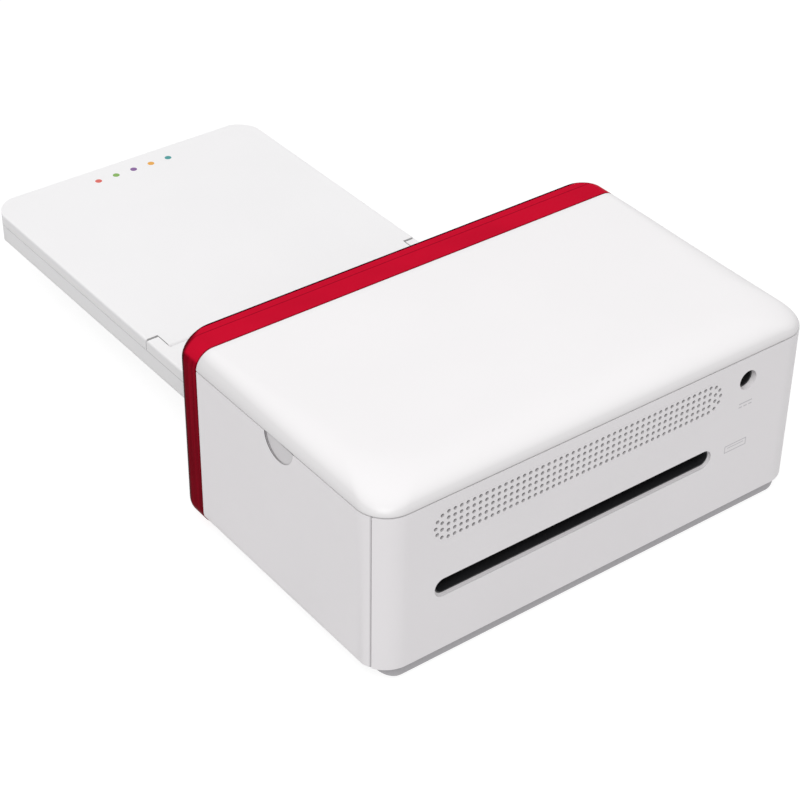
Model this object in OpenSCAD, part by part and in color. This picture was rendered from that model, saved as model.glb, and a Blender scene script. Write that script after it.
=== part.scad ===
// Compact photo printer: a rounded casing with a cartridge door, a coloured front
// bezel, a sheet tray with a hinged cover, and a single-head ribbon print mechanism.
// Frame: +Z up, +Y rear face, -Y tray, +X cartridge door. Origin at the middle of the
// bounding box in plan, on the surface the feet stand on. Units: mm.

/* [Body] */
// Width across both sides
body_w = 170; // [166:1:186]
// Depth from the rear face to the front rim
body_d = 105.5; // [105:0.5:116]
// Height of the casing above its feet
body_h = 67.5; // [67:0.5:76]
// Height of the lid above the seam
lid_h = 6.15; // [5.6:0.05:6.6]
// Height of the base plate below the side panels
base_h = 4.47; // [4.2:0.01:4.8]
// Setback of the base plate edge
base_inset = 1.7; // [1.2:0.1:2.2]
// Radius of the base's lower long edges
base_round = 9.6; // [9:0.1:9.8]
// Radius of the long upper side edges
corner_top = 6.5; // [5.5:0.5:7.5]
// Radius of the long lower side edges
corner_base = 6.8; // [6:0.2:7.4]
// Plan radius of the two rear corners
corner_rear = 10.5; // [9.5:0.5:12]
// Plan radius of the two front corners
corner_front = 5.6; // [5.3:0.1:6]
// How far the soft crown runs in from the rear edge
crown_run = 18; // [14:1:22]
// Exponent of the crown curve, higher is squarer
crown_power = 2.3; // [2:0.1:3]
// Wall of the side and rear panels
wall = 3; // [2.9:0.1:3.1]
// Wall of the lid
lid_wall = 2.2; // [2:0.1:2.4]
// Width of the parting gaps
seam_gap = 0.3; // [0.2:0.05:0.35]
// Height of the rubber feet
foot_h = 1.2; // [0.8:0.1:2]

/* [Front bezel] */
// Depth of the coloured band
band_d = 11.85; // [11:0.05:12.5]
// Depth of the dark rim in front of the band
trim_t = 0.9; // [0.7:0.05:1.2]
// Chamfer along the upper front edge
rim_edge = 0.35; // [0.2:0.05:0.6]
// Wall of the band
band_wall = 3; // [2.8:0.1:3.2]

/* [Door] */
// Radius of the finger scoop
scoop_r = 7.4; // [6:0.2:9]
// Depth of the finger scoop at its middle
scoop_depth = 1.1; // [0.8:0.1:1.2]
// Distance of the rear parting line from the rear face
door_line = 5.08; // [4.6:0.02:6]

/* [Rear face] */
// Length of the paper slot
slot_w = 109.5; // [106:0.5:114]
// Height of the slot recess
slot_h = 6.8; // [6.6:0.1:7.2]
// Height of the paper path above the base underside
slot_z = 28.75; // [28.5:0.05:29]
// Diameter of one vent hole
vent_d = 1.3; // [0.8:0.05:1.4]
// Pitch of the vent holes
vent_pitch = 2.31; // [2.1:0.01:2.4]
// Columns of vent holes
vent_cols = 45; // [30:1:45]
// Rows of vent holes
vent_rows = 5; // [3:2:5]

/* [Tray] */
// Width of the tray
tray_w = 112.5; // [112:0.1:113]
// How far the tray stands out of the front rim
tray_out = 160; // [156:1:166]
// Height of the tray underside above the base underside
tray_low = 18.1; // [18:0.1:18.2]
// Height of the parting line of the tray
tray_part = 26.8; // [26.7:0.1:26.9]
// Height of the tray top
tray_high = 31; // [30.9:0.1:31.1]
// Plan radius of the two far corners
tray_corner = 11.5; // [9:0.5:14]
// Width of each hinge ear
ear_w = 4.4; // [4:0.1:5]

/* [Mechanism] */
// Teeth of the drive pinion
pinion_teeth = 15; // [15:1:17]
// Teeth of the feed roller gear
feed_teeth = 36; // [36:1:37]
// Teeth of the take-up gear
takeup_teeth = 26; // [25:1:26]
// Radius of the free clearance in every running hole
run_fit = 0.05; // [0.03:0.01:0.08]
// How far the cartridge tubes stand apart
spool_gap = 40; // [40:0.5:41]

/* [Hidden] */
$fn = 72;
e = 0.01;
half_w = body_w / 2;
y_rear = (body_d + tray_out) / 2;
y_front = y_rear - body_d;
y_far = -y_rear;
band_back = y_front + band_d;
z_low = foot_h;
z_top = foot_h + body_h;
seam_low = foot_h + base_h;
seam_high = foot_h + body_h - lid_h;
line_y = y_rear - door_line;
panel_y = y_front + 3.8;
panel_t = 2.2;
window_in = 7.5;

// Paper path
mech_x = half_w * 0.1206;
path_z = foot_h + slot_z;
slot_x = mech_x - 0.45;
slot_top = path_z + 2.65;
slot_sink = 0.9;
slot_ledge = 0.8;
scoop_skin = 0.25;
head_roof = z_top - lid_wall;
print_room = head_roof - path_z;
chassis_y0 = y_front + 18.75;
chassis_y1 = y_rear - 8.75;
takeup_y = chassis_y1 - 20;
feed_y = takeup_y - 4;
platen_y = takeup_y - spool_gap / 2;
pivot_y = platen_y - 19.5;
pick_y = pivot_y - 14.5;

// Tray
tray_x = mech_x + 0.05;
tray_in_y = pivot_y - 4.5;
tz0 = foot_h + tray_low;
tz1 = foot_h + tray_part;
tz2 = foot_h + tray_high;
barrel_r = (tz2 - tz1) / 2;
cover_y = y_front - 44.8;
cover_z = (tz1 + tz2) / 2;
ear_front = cover_y - 5.5;
cover_edge = cover_y - 6;
tray_floor = 1.6;
tray_side = 2.2;
stack_z0 = tz0 + tray_floor + 0.2;
stack_h = 4.4;
stack_w = tray_w - 10.9;
stack_l = 178;

// Chassis sheet
sheet = 1.2;
plate_half = tray_w / 2 + 2.3;
plate_l = mech_x - plate_half;
plate_r = mech_x + plate_half;
floor_z = seam_low + 0.33;
plate_top = head_roof - 5.5;
roll_half = tray_w / 2 - 3;
roll_l = mech_x - roll_half;
roll_r = mech_x + roll_half;

// Rollers
platen_r = 5.5;
platen_z = path_z - platen_r;
feed_r = 4;
feed_z = path_z - feed_r;
pinch_r = 3;
pinch_z = path_z + 0.3 + pinch_r;
pick_r = 5;
pick_z = stack_z0 + stack_h + 0.3 + pick_r;
pivot_z = pick_z;
shaft_l = plate_l - sheet - 1.5;
shaft_r = plate_r + sheet + 1.5;

// Cartridge
supply_y = takeup_y - spool_gap;
tube_r = print_room * 0.2736;
spool_z = head_roof - tube_r - 6.07;
tube_bore = tube_r - 1.2;
core_r = 4;
supply_roll_r = core_r + (tube_bore - core_r) * 0.8333;
takeup_roll_r = core_r + (tube_bore - core_r) * 0.4167;
cart_l = roll_l - 1;
cart_r = roll_r + 3.5;
film_z = path_z + 0.35;

// Gears: the tooth size follows from the distance between the feed roller and the spool
gear_reach = norm([takeup_y - feed_y, spool_z - feed_z]);
gear_m = 2 * gear_reach / (feed_teeth + takeup_teeth);
feed_pr = gear_m * feed_teeth / 2;
pinion_pr = gear_m * pinion_teeth / 2;
pinion_dir = 200;
pinion_y = feed_y + (feed_pr + pinion_pr) * cos(pinion_dir);
pinion_z = feed_z + (feed_pr + pinion_pr) * sin(pinion_dir);
takeup_dir = atan2(spool_z - feed_z, takeup_y - feed_y);
gear_x0 = plate_l - sheet - 6.5;
gear_x1 = gear_x0 + 4;
motor_l = -half_w + wall + 2;
motor_r = gear_x0 - 3;
motor_radius = 10.9;

// Print head
head_y = platen_y;
head_half = roll_half + 0.75;
head_axis_y = chassis_y1 - 4;
head_axis_z = head_roof - 4.1;
head_low = film_z + 0.4;
lift_plate_z = head_roof - 4.7;

// Door hinge
hinge_x = half_w - 3.1;
hinge_z = seam_low + seam_gap + 2.25;
knuckle_r = 1.8;
rod_r = 0.9;
arm_w = 5;
arm_ys = [band_back + 12.9, line_y - 17.67];
side_room = half_w - plate_r - sheet;
arm_foot_l = plate_r + sheet + side_room * 0.233;
arm_foot_r = arm_foot_l + side_room * 0.213;
trough_z = foot_h + 3.2;

// Power inlet
jack_x = plate_l - 9.5;
jack_z = z_top - 15.3;
jack_r = 2.8;
jack_nose_r = 3.4;
jack_sink = 2;
board_top = jack_z - 5.6;
board_t = 1.6;
board_l = -half_w + band_wall + 2.1;
board_r = motor_r;
board_back = y_rear - wall - 0.6;

// Front controls
button_x = -half_w + 19;
button_z = z_top - 22.5;
button_r = 4.5;
light_z = button_z - 13;

// Screws and feet
screw_pts = [for (x = [plate_l + 10.55, plate_r - 10.55])
  for (y = [chassis_y0 + 6, chassis_y1 - 6]) [x, y]];
foot_pts = [for (x = [-half_w + 15, half_w - 15])
  for (y = [band_back + 12, y_rear - 15]) [x, y]];
post_pts = [for (x = [board_l + 3.5, board_r - 2.5])
  for (y = [pivot_y - 6, takeup_y + 9]) [x, y]];

// ---------- helpers ----------

// Extrude an x-z drawing along y
module xz(y0, y1) {
  translate([0, y1, 0])
    rotate([90, 0, 0])
      linear_extrude(y1 - y0) children();
}

// Extrude a y-z drawing along x
module yz(x0, x1) {
  translate([x0, 0, 0])
    rotate([90, 0, 90])
      linear_extrude(x1 - x0) children();
}

// Extrude a plan drawing along z
module xy(z0, z1) {
  translate([0, 0, z0])
    linear_extrude(z1 - z0) children();
}

module box(x0, x1, y0, y1, z0, z1) {
  translate([x0, y0, z0])
    cube([x1 - x0, y1 - y0, z1 - z0]);
}

module rod_x(y, z, r, x0, x1) {
  translate([x0, y, z])
    rotate([0, 90, 0])
      cylinder(r = r, h = x1 - x0);
}

module rod_y(x, z, r, y0, y1) {
  translate([x, y0, z])
    rotate([-90, 0, 0])
      cylinder(r = r, h = y1 - y0);
}

module rod_z(x, y, r, z0, z1) {
  translate([x, y, z0])
    cylinder(r = r, h = z1 - z0);
}

module corner_bit(x, y, dx, dy, r) {
  difference() {
    translate([min(x, x + dx * r), min(y, y + dy * r)])
      square([r, r]);
    translate([x + dx * r, y + dy * r])
      circle(r = r);
  }
}

// Rectangle with its four corner radii: lower left, lower right, upper right, upper left
module rrect(x0, y0, x1, y1, r) {
  difference() {
    translate([x0, y0])
      square([x1 - x0, y1 - y0]);
    if (r[0] > 0) corner_bit(x0, y0, 1, 1, r[0]);
    if (r[1] > 0) corner_bit(x1, y0, -1, 1, r[1]);
    if (r[2] > 0) corner_bit(x1, y1, -1, -1, r[2]);
    if (r[3] > 0) corner_bit(x0, y1, 1, -1, r[3]);
  }
}

// A slot shape with full round ends
module stadium(x0, x1, z0, z1) {
  r = (z1 - z0) / 2;
  translate([x0 + r, z0])
    square([x1 - x0 - 2 * r, z1 - z0]);
  for (x = [x0 + r, x1 - r])
    translate([x, z0 + r]) circle(r = r);
}

// Cross-section of the casing, moved in by d
module section(d) {
  rt = max(corner_top - d, 0.8);
  rb = max(corner_base - d, 0.8);
  rrect(-half_w + d, z_low + d, half_w - d, z_top - d, [rb, rb, rt, rt]);
}

// Plan of the casing, moved in by d
module plan(d) {
  rf = max(corner_front - d, 0.5);
  rr = max(corner_rear - d, 0.5);
  rrect(-half_w + d, y_front, half_w - d, y_rear - d, [rf, rf, rr, rr]);
}

// Side profile of the casing with its soft rear crown, moved in by d
function crown(i, n) = let (t = 90 * i / n)
  [crown_run * pow(sin(t), 2 / crown_power), lid_h * pow(cos(t), 2 / crown_power)];

module profile(d) {
  n = 16;
  y1 = y_rear - d;
  z1 = z_top - d;
  polygon(concat(
    [[y_front - 1, z_low - 1], [y_front - 1, z1 - rim_edge - 1], [y_front, z1 - rim_edge],
     [y_front + rim_edge, z1]],
    [for (i = [0:n]) [y1 - crown_run + crown(i, n)[0], z1 - lid_h + crown(i, n)[1]]],
    [[y1, z_low - 1]]));
}

// The whole casing as one solid, moved in by d
module hull_solid(d) {
  intersection() {
    xz(y_front - 1, y_rear + 1) section(d);
    yz(-half_w - 1, half_w + 1) profile(d);
    xy(z_low - 1, z_top + 1) plan(d);
  }
}

module slab(y0, y1, z0, z1) {
  box(-half_w - 2, half_w + 2, y0, y1, z0, z1);
}

// Involute gear outline, standing in the y-z plane
function inv_deg(a) = tan(a) * 180 / PI - a;
function flank(r, rb, half) = let (a = acos(min(1, rb / max(r, rb)))) half - inv_deg(a);

function gear_pts(n, m, phase) = let (
    rp = m * n / 2, rb = rp * cos(20), ra = rp + 0.85 * m, rr = rp - 1.15 * m,
    half = (90 - 7) / n + inv_deg(20), steps = 3,
    rs = [for (i = [0:steps]) max(rr, rb) + (ra - max(rr, rb)) * i / steps])
  [for (k = [0:n - 1]) let (c = phase + 360 * k / n)
    each concat(
      [[rr * cos(c - flank(rb, rb, half)), rr * sin(c - flank(rb, rb, half))]],
      [for (r = rs) [r * cos(c - flank(r, rb, half)), r * sin(c - flank(r, rb, half))]],
      [for (i = [steps:-1:0]) let (r = rs[i])
        [r * cos(c + flank(r, rb, half)), r * sin(c + flank(r, rb, half))]],
      [[rr * cos(c + flank(rb, rb, half)), rr * sin(c + flank(rb, rb, half))]])];

function mate_phase(phi, dir, n1, n2) = dir + 180 - (n1 / n2) * (phi - dir) + 180 / n2;

module gear(y, z, n, phase, bore) {
  yz(gear_x0, gear_x1)
    translate([y, z])
      difference() {
        polygon(gear_pts(n, gear_m, phase));
        circle(r = bore);
      }
}

// ---------- casing ----------

module lid() {
  color([0.95, 0.95, 0.95]) {
    difference() {
      intersection() {
        hull_solid(0);
        slab(band_back + 0.15, y_rear + 1, seam_high, z_top + 1);
      }
      hull_solid(lid_wall);
    }
    // Locating lip that drops behind the side panels
    intersection() {
      hull_solid(1.2);
      difference() {
        xy(seam_high - 2.4, z_top) lip_plan(wall + 0.25);
        xy(seam_high - 3, z_top + 1) lip_plan(wall + 1.75);
        slab(y_front - 1, band_back + 7, 0, z_top + 1);
      }
    }
  }
}

module lip_plan(d) {
  rr = corner_rear - d;
  rrect(-half_w + d, y_front - 5, half_w - d, y_rear - d, [0, 0, rr, rr]);
}

module rear_shell() {
  color([0.9, 0.9, 0.91])
    difference() {
      intersection() {
        hull_solid(0);
        slab(band_back + 0.15, y_rear + 1, seam_low, seam_high - seam_gap);
      }
      intersection() {
        hull_solid(wall);
        slab(y_front, y_rear, 0, seam_high + 1);
      }
      // Room for the lip of the lid
      xy(seam_high - 12, seam_high + 1) plan(wall);
      box(half_w - 30, half_w + 1, y_front, line_y, 0, z_top);
      slot_cut();
      vent_window(0);
      jack_cut();
    }
}

// Outline of the paper slot below its sunk edge, moved in by d
module slot_outline(d) {
  reach = slot_w / 2 - 0.55 - d;
  stadium(slot_x - reach, slot_x + reach, slot_top - slot_h + slot_ledge + d, slot_top - d);
}

module slot_cut() {
  x0 = slot_x - slot_w / 2;
  xz(y_rear - slot_sink, y_rear + 1)
    stadium(x0, x0 + slot_w, slot_top - slot_h, slot_top);
  xz(y_rear - wall - 1, y_rear) slot_outline(0);
}

// Black sleeve that lines the paper slot, held by a flange behind the wall
module slot_guide() {
  color([0.08, 0.08, 0.08])
    difference() {
      union() {
        xz(y_rear - wall - 3, y_rear - slot_sink - 0.05) slot_outline(0.05);
        xz(y_rear - wall - 1.2, y_rear - wall) slot_outline(-1.5);
      }
      xz(y_rear - wall - 4, y_rear) slot_outline(0.45);
    }
}

vent_x = slot_x - 0.5;
vent_z = z_top - 16.3;

module vent_window(gap) {
  h = vent_pitch * (vent_rows - 1);
  w = vent_pitch * (vent_cols - 1) + 2 * 4.65;
  xz(y_rear - wall - 1, y_rear + 1)
    stadium(vent_x - w / 2 - 1.3 + gap, vent_x + w / 2 + 1.3 - gap,
      vent_z - h / 2 - 1.3 + gap, vent_z + h / 2 + 1.3 - gap);
}

module vent_holes() {
  half = vent_pitch * (vent_cols - 1) / 2;
  top = vent_pitch * (vent_rows - 1) / 2;
  for (i = [0:vent_cols - 1])
    for (j = [0:vent_rows - 1])
      translate([vent_x - half + i * vent_pitch, vent_z - top + j * vent_pitch])
        circle(d = vent_d, $fn = 20);
  for (s = [-1, 1])
    for (a = [-60:30:60])
      translate([vent_x + s * (half + top * cos(a)), vent_z + top * sin(a)])
        circle(d = vent_d, $fn = 20);
  if (vent_rows > 3)
    for (s = [-1, 1])
      for (a = [-27, 27])
        translate([vent_x + s * (half + 2.6 * cos(a)), vent_z + 2.6 * sin(a)])
          circle(d = vent_d, $fn = 20);
}

module vent_grille() {
  h = vent_pitch * (vent_rows - 1);
  w = vent_pitch * (vent_cols - 1) + 2 * h / 2;
  color([0.9, 0.9, 0.91])
    xz(y_rear - 2, y_rear)
      difference() {
        stadium(vent_x - w / 2 - 1.28 - 0.04, vent_x + w / 2 + 1.28 + 0.04,
          vent_z - h / 2 - 1.28, vent_z + h / 2 + 1.28);
        vent_holes();
      }
}

module jack_cut() {
  rod_y(jack_x, jack_z, jack_nose_r + 0.1, y_rear - wall - 1, y_rear + 1);
}

module side_door() {
  top = seam_high - seam_gap;
  low = seam_low + seam_gap;
  color([0.9, 0.9, 0.91]) {
    difference() {
      union() {
        difference() {
          intersection() {
            hull_solid(0);
            box(half_w - 25, half_w + 1, band_back + seam_gap, line_y - seam_gap, low, top);
          }
          hull_solid(wall);
        }
        for (y = arm_ys)
          for (s = [-1, 1])
            rod_y(hinge_x, hinge_z, knuckle_r,
              y + s * (arm_w / 2 + 2.4) - 2, y + s * (arm_w / 2 + 2.4) + 2);
        for (y = [arm_ys[0] + 11.25, arm_ys[1] - 6.75])
          box(half_w - wall - 2.6, half_w - wall + 1, y, y + 1.5, low + 9, top - 5);
      }
      rod_y(hinge_x, hinge_z, rod_r + run_fit, arm_ys[0] - 9, arm_ys[1] + 9);
      for (y = arm_ys) {
        rod_y(hinge_x, hinge_z, knuckle_r + 0.3, y - arm_w / 2 - 0.4, y + arm_w / 2 + 0.4);
        box(hinge_x - 3, hinge_x + knuckle_r + 0.25, y - arm_w / 2 - 0.4,
          y + arm_w / 2 + 0.4, low - 1, hinge_z);
      }
      // Half-moon finger scoop at the top edge, undercut at its rim, deeper towards the front
      translate([half_w, y_rear - 49, top + 0.6]) {
        rod_x(0, 0, scoop_r, -scoop_skin - 0.1, 1);
        rod_x(0, 0, scoop_r + 0.6, -scoop_depth / 2, -scoop_skin);
        rotate([0, 0, -5]) rod_x(0, 0, scoop_r, -scoop_depth, -scoop_skin);
      }
    }
  }
}

module door_hinge_rod() {
  color([0.75, 0.76, 0.78])
    rod_y(hinge_x, hinge_z, rod_r, arm_ys[0] - 8.5, arm_ys[1] + 8.5);
}

module red_bezel() {
  color([0.75, 0.06, 0.18])
    difference() {
      intersection() {
        hull_solid(0);
        slab(y_front + trim_t, band_back, z_low - 1, z_top + 1);
      }
      xz(panel_y, band_back + 1) section(band_wall);
      xz(y_front - 1, panel_y + 1) section(window_in);
    }
}

module front_trim() {
  color([0.12, 0.03, 0.05])
    difference() {
      intersection() {
        hull_solid(0);
        slab(y_front, y_front + trim_t, z_low - 1, z_top + 1);
      }
      xz(y_front - 1, panel_y + 1) section(window_in);
    }
}

module front_panel() {
  d = band_wall + 0.15;
  back = band_back + 5.9;
  color([0.93, 0.93, 0.94])
    difference() {
      union() {
        xz(panel_y, panel_y + panel_t) section(d);
        difference() {
          xz(panel_y, back) section(d);
          xz(panel_y - 1, back + 1) section(d + 1.8);
          slab(band_back - 0.15, back + 1, 0, seam_low + 1.2);
          // Room for the hinge arms and the door's lower edge
          box(half_w - 14, half_w + 1, band_back - 0.15, back + 1, 0, seam_low + 9);
        }
        for (p = [[button_x - 7.5, light_z - 2], [button_x + 7.5, button_z + 7]])
          rod_y(p[0], p[1], 1.8, panel_y + panel_t - e, panel_y + 7);
      }
      // Tray opening, print exit, button and light holes
      xz(panel_y - 1, panel_y + panel_t + 1) {
        rrect(tray_x - tray_w / 2 - 0.5, tz0 - 0.4, tray_x + tray_w / 2 + 0.5, tz2 + 0.4,
          [3.2, 3.2, 1, 1]);
        rrect(mech_x - head_half, tz2 + 5.7, mech_x + head_half, tz2 + 12.2, [1, 1, 1, 1]);
        translate([button_x, button_z]) circle(r = button_r + 0.1);
        translate([button_x, light_z]) circle(r = 1.25 + run_fit);
      }
    }
}

module base_plate() {
  d = base_inset;
  z1 = seam_low;
  color([0.68, 0.67, 0.69])
    difference() {
      union() {
        difference() {
          base_block(d, z_low, z1);
          base_block(d + 2.6, z_low + 2, z1 + 1);
          // The door's lower edge swings through this trough
          box(half_w - 7.6, half_w + 1, band_back, line_y + 0.2, trough_z, z1 + 1);
        }
        for (p = screw_pts)
          rod_z(p[0], p[1], 4, z_low + 1, floor_z);
        for (p = post_pts)
          rod_z(p[0], p[1], 2.5, z_low + 1, board_top - board_t);
        for (y = arm_ys)
          door_arm(y);
        // Motor cradle
        box(motor_l + 3, motor_r - 3, pinion_y - 8, pinion_y + 8, z_low + 1, pinion_z - 5);
        // Stiffening ribs
        for (y = [band_back + 22, band_back + 50])
          box(plate_l, plate_r, y, y + 1.6, z_low + 1, floor_z - 0.4);
      }
      rod_x(pinion_y, pinion_z, motor_radius + 0.1, motor_l - 2, motor_r + 1);
      for (p = screw_pts) {
        rod_z(p[0], p[1], 1.4, z_low - 1, floor_z + 1);
        rod_z(p[0], p[1], 2.8, z_low - 1, z_low + 1.9);
      }
      for (y = arm_ys)
        rod_y(hinge_x, hinge_z, rod_r + 0.02, y - arm_w, y + arm_w);
    }
}

module base_block(d, z0, z1) {
  intersection() {
    xz(y_front, y_rear)
      rrect(-half_w + d, z_low + (z0 - z_low), half_w - d, z1 + 12,
        [base_round - d, base_round - d, 0, 0]);
    xy(z0, z1)
      rrect(-half_w + d, band_back + 0.1 + d - base_inset, half_w - d, y_rear - d,
        [0.5, 0.5, corner_rear - d, corner_rear - d]);
  }
}

module door_arm(y) {
  w = arm_w / 2;
  rod_y(hinge_x, hinge_z, knuckle_r, y - w, y + w);
  box(arm_foot_l, hinge_x, y - w, y + w, hinge_z - knuckle_r, hinge_z + knuckle_r);
  box(arm_foot_l, arm_foot_r, y - w, y + w, z_low + 1, hinge_z + knuckle_r);
}

module rubber_feet() {
  color([0.2, 0.2, 0.2])
    for (p = foot_pts)
      rod_z(p[0], p[1], 5, 0, foot_h);
}

module base_screws() {
  color([0.75, 0.76, 0.78])
    for (p = screw_pts)
      difference() {
        union() {
          rod_z(p[0], p[1], 2.5, z_low + 0.4, z_low + 1.9);
          rod_z(p[0], p[1], 1.25, z_low + 1, floor_z + sheet + 2.4);
        }
        for (a = [0, 90])
          translate([p[0], p[1], z_low + 0.4])
            rotate([0, 0, a])
              translate([-1.5, -0.3, -1]) cube([3, 0.6, 1.8]);
      }
}

// ---------- controls and electrics ----------

module power_button() {
  color([0.93, 0.93, 0.94]) {
    rod_y(button_x, button_z, button_r, panel_y - 0.8, panel_y + panel_t + 1);
    rod_y(button_x, button_z, button_r + 1, panel_y + panel_t + 0.1, panel_y + panel_t + 1);
    rod_y(button_x, button_z, 1.2, panel_y + panel_t, panel_y + 4.2);
  }
}

module status_light() {
  color([0.9, 0.95, 1])
    rod_y(button_x, light_z, 1.25, panel_y - 0.2, panel_y + 7);
}

module switch_board() {
  color([0.1, 0.35, 0.2]) {
    box(button_x - 10, button_x + 10, panel_y + 7, panel_y + 8.4, light_z - 6, button_z + 10);
    box(button_x - 3, button_x + 3, panel_y + 5, panel_y + 7, button_z - 3, button_z + 3);
  }
}

module dc_socket() {
  color([0.1, 0.1, 0.1])
    difference() {
      union() {
        box(jack_x - 5.5, jack_x + 5.5, y_rear - wall - 12.2, y_rear - wall, board_top,
          jack_z + 5.6);
        rod_y(jack_x, jack_z, jack_nose_r, y_rear - wall - 1, y_rear - jack_sink);
      }
      rod_y(jack_x, jack_z, jack_r, y_rear - wall - 9, y_rear);
    }
}

module dc_contact() {
  color([0.8, 0.8, 0.82])
    rod_y(jack_x, jack_z, 1, y_rear - wall - 9, y_rear - wall - 0.4);
}

module main_board() {
  z0 = board_top - board_t;
  color([0.1, 0.35, 0.2])
    difference() {
      union() {
        xy(z0, board_top)
          rrect(board_l, pivot_y - 12, board_r, board_back, [1, 1, 0, corner_rear - wall]);
        box(board_l + 9, jack_x + 7, board_back - 12, board_back, z0, board_top);
      }
      for (p = post_pts)
        rod_z(p[0], p[1], 1, z0 - 1, board_top + 1);
    }
}

// Place across the board, from 0 at its outer edge to 1
function board_x(share) = board_l + share * (board_r - board_l);

module chip(from, to, y0, y1, h) {
  box(board_x(from), board_x(to), pivot_y + y0, pivot_y + y1, board_top, board_top + h);
}

module board_chips() {
  color([0.1, 0.1, 0.1]) {
    chip(0.21, 0.77, 6, 18, 1.4);
    chip(0.3, 0.63, 24, 31, 1.2);
    chip(0.67, 0.91, 22, 36, 5);
    chip(0.02, 0.3, -3, 1, 4);
    for (i = [0:2])
      rod_z(board_x(0.21), pivot_y + 38 + 6.5 * i, 2.5, board_top, board_top + 7);
  }
}

// ---------- chassis and guides ----------

module side_plate(x, window) {
  z1 = plate_top;
  yz(x, x + sheet)
    difference() {
      union() {
        translate([chassis_y0, floor_z])
          square([chassis_y1 - chassis_y0, z1 - floor_z]);
        translate([chassis_y1 - 9, z1 - 2])
          square([9, head_roof - 1.9 - z1 + 2]);
      }
      translate([head_axis_y, head_axis_z]) circle(r = 1.5 + run_fit);
      translate([platen_y, platen_z]) circle(r = 2 + run_fit);
      translate([feed_y, feed_z]) circle(r = 2 + run_fit);
      translate([feed_y, pinch_z]) circle(r = 1.5 + run_fit);
      translate([pivot_y, pivot_z]) circle(r = 1.5 + run_fit);
      if (window) {
        translate([supply_y - 12, path_z + 8.2])
          square([spool_gap + 24, 60]);
      } else {
        translate([supply_y, spool_z]) circle(r = 3 + run_fit);
        translate([takeup_y, spool_z]) circle(r = 3 + run_fit);
        translate([chassis_y0 + 5, floor_z + 5])
          square([24, 7]);
      }
    }
}

module chassis() {
  color([0.72, 0.73, 0.75]) {
    difference() {
      box(plate_l - sheet, plate_r + sheet, chassis_y0, chassis_y1, floor_z, floor_z + sheet);
      for (p = screw_pts)
        rod_z(p[0], p[1], 1.25 + run_fit, 0, 20);
      box(plate_l + 24.55, plate_r - 24.55, chassis_y0 + 30, chassis_y1 - 22, 0, 20);
    }
    side_plate(plate_l - sheet, false);
    side_plate(plate_r, true);
    // Rear cross bar
    box(plate_l - e, plate_r + e, chassis_y1 - sheet, chassis_y1, floor_z, floor_z + 12);
  }
}

module feed_deck() {
  d0 = tz0 - 2.1;
  d1 = tz0 - 0.1;
  ramp = tray_in_y + 1;
  color([0.15, 0.15, 0.16]) {
    box(plate_l + 0.1, plate_r - 0.1, panel_y + panel_t + 0.5, ramp + 2, d0, d1);
    for (x = [plate_l + 0.1, mech_x - 1, plate_r - 2.1])
      box(x, x + 2, chassis_y0 + 1, ramp, floor_z + sheet, d0 + e);
    yz(plate_l + 2, plate_r - 2)
      polygon([[ramp, d0], [ramp, tz0 + 5.2], [platen_y - 6.5, path_z - 1.2],
        [platen_y - 6.5, path_z - 2.6], [ramp + 2, tz0 + 3.2], [ramp + 2, d0]]);
    for (x = [-roll_half * 0.56, 0, roll_half * 0.56])
      yz(mech_x + x - 0.8, mech_x + x + 0.8)
        polygon([[ramp + 1, d0], [ramp + 1, tz0 + 4], [platen_y - 8, path_z - 2.4],
          [platen_y - 8, path_z - 5]]);
  }
}

module exit_guide() {
  crest = pivot_y - 10.5;
  front = panel_y + panel_t + 0.2;
  color([0.15, 0.15, 0.16]) {
    yz(plate_l + 0.05, plate_r - 0.05)
      polygon([[platen_y - 7, path_z + 1.5], [crest, path_z + 9.3], [front, path_z + 7.8],
        [front, path_z + 6.6], [crest, path_z + 8.1], [platen_y - 7, path_z + 0.3]]);
    for (i = [-2.5:1:2.5])
      yz(mech_x + i * roll_half / 3 - 0.6, mech_x + i * roll_half / 3 + 0.6)
        polygon([[crest, path_z + 9.2], [crest + 2, path_z + 8.6], [front + 1, path_z + 7.7],
          [front + 1, path_z + 8.5], [crest, path_z + 9.8]]);
  }
}

// ---------- drive ----------

module feed_motor() {
  color([0.6, 0.61, 0.63])
    difference() {
      union() {
        rod_x(pinion_y, pinion_z, motor_radius, motor_l, motor_r);
        rod_x(pinion_y, pinion_z, 3, motor_r - 0.5, gear_x0 - 1.6);
      }
      rod_x(pinion_y, pinion_z, 1 + run_fit, gear_x0 - 8, gear_x0);
    }
}

module motor_pinion() {
  color([0.85, 0.83, 0.76]) {
    gear(pinion_y, pinion_z, pinion_teeth,
      mate_phase(0, pinion_dir, feed_teeth, pinion_teeth), 1 - e);
    rod_x(pinion_y, pinion_z, 1, gear_x0 - 7.5, gear_x1 + 0.4);
  }
}

module feed_gear() {
  hole_at = feed_pr * 0.597;
  color([0.85, 0.83, 0.76])
    difference() {
      gear(feed_y, feed_z, feed_teeth, 0, 2.02);
      for (a = [0:60:300])
        rod_x(feed_y + hole_at * cos(a), feed_z + hole_at * sin(a), hole_at * 0.28,
          gear_x0 - 1, gear_x1 + 1);
    }
}

module feed_roller() {
  color([0.75, 0.76, 0.78]) {
    rod_x(feed_y, feed_z, 2, gear_x0 - 1, shaft_r);
    rod_x(feed_y, feed_z, feed_r, roll_l, roll_r);
  }
}

module pinch_roller() {
  color([0.75, 0.76, 0.78]) {
    rod_x(feed_y, pinch_z, 1.5, shaft_l, shaft_r);
    rod_x(feed_y, pinch_z, pinch_r, roll_l + 3, roll_r - 3);
  }
}

module platen_shaft() {
  color([0.75, 0.76, 0.78])
    rod_x(platen_y, platen_z, 2, shaft_l, shaft_r);
}

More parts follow.
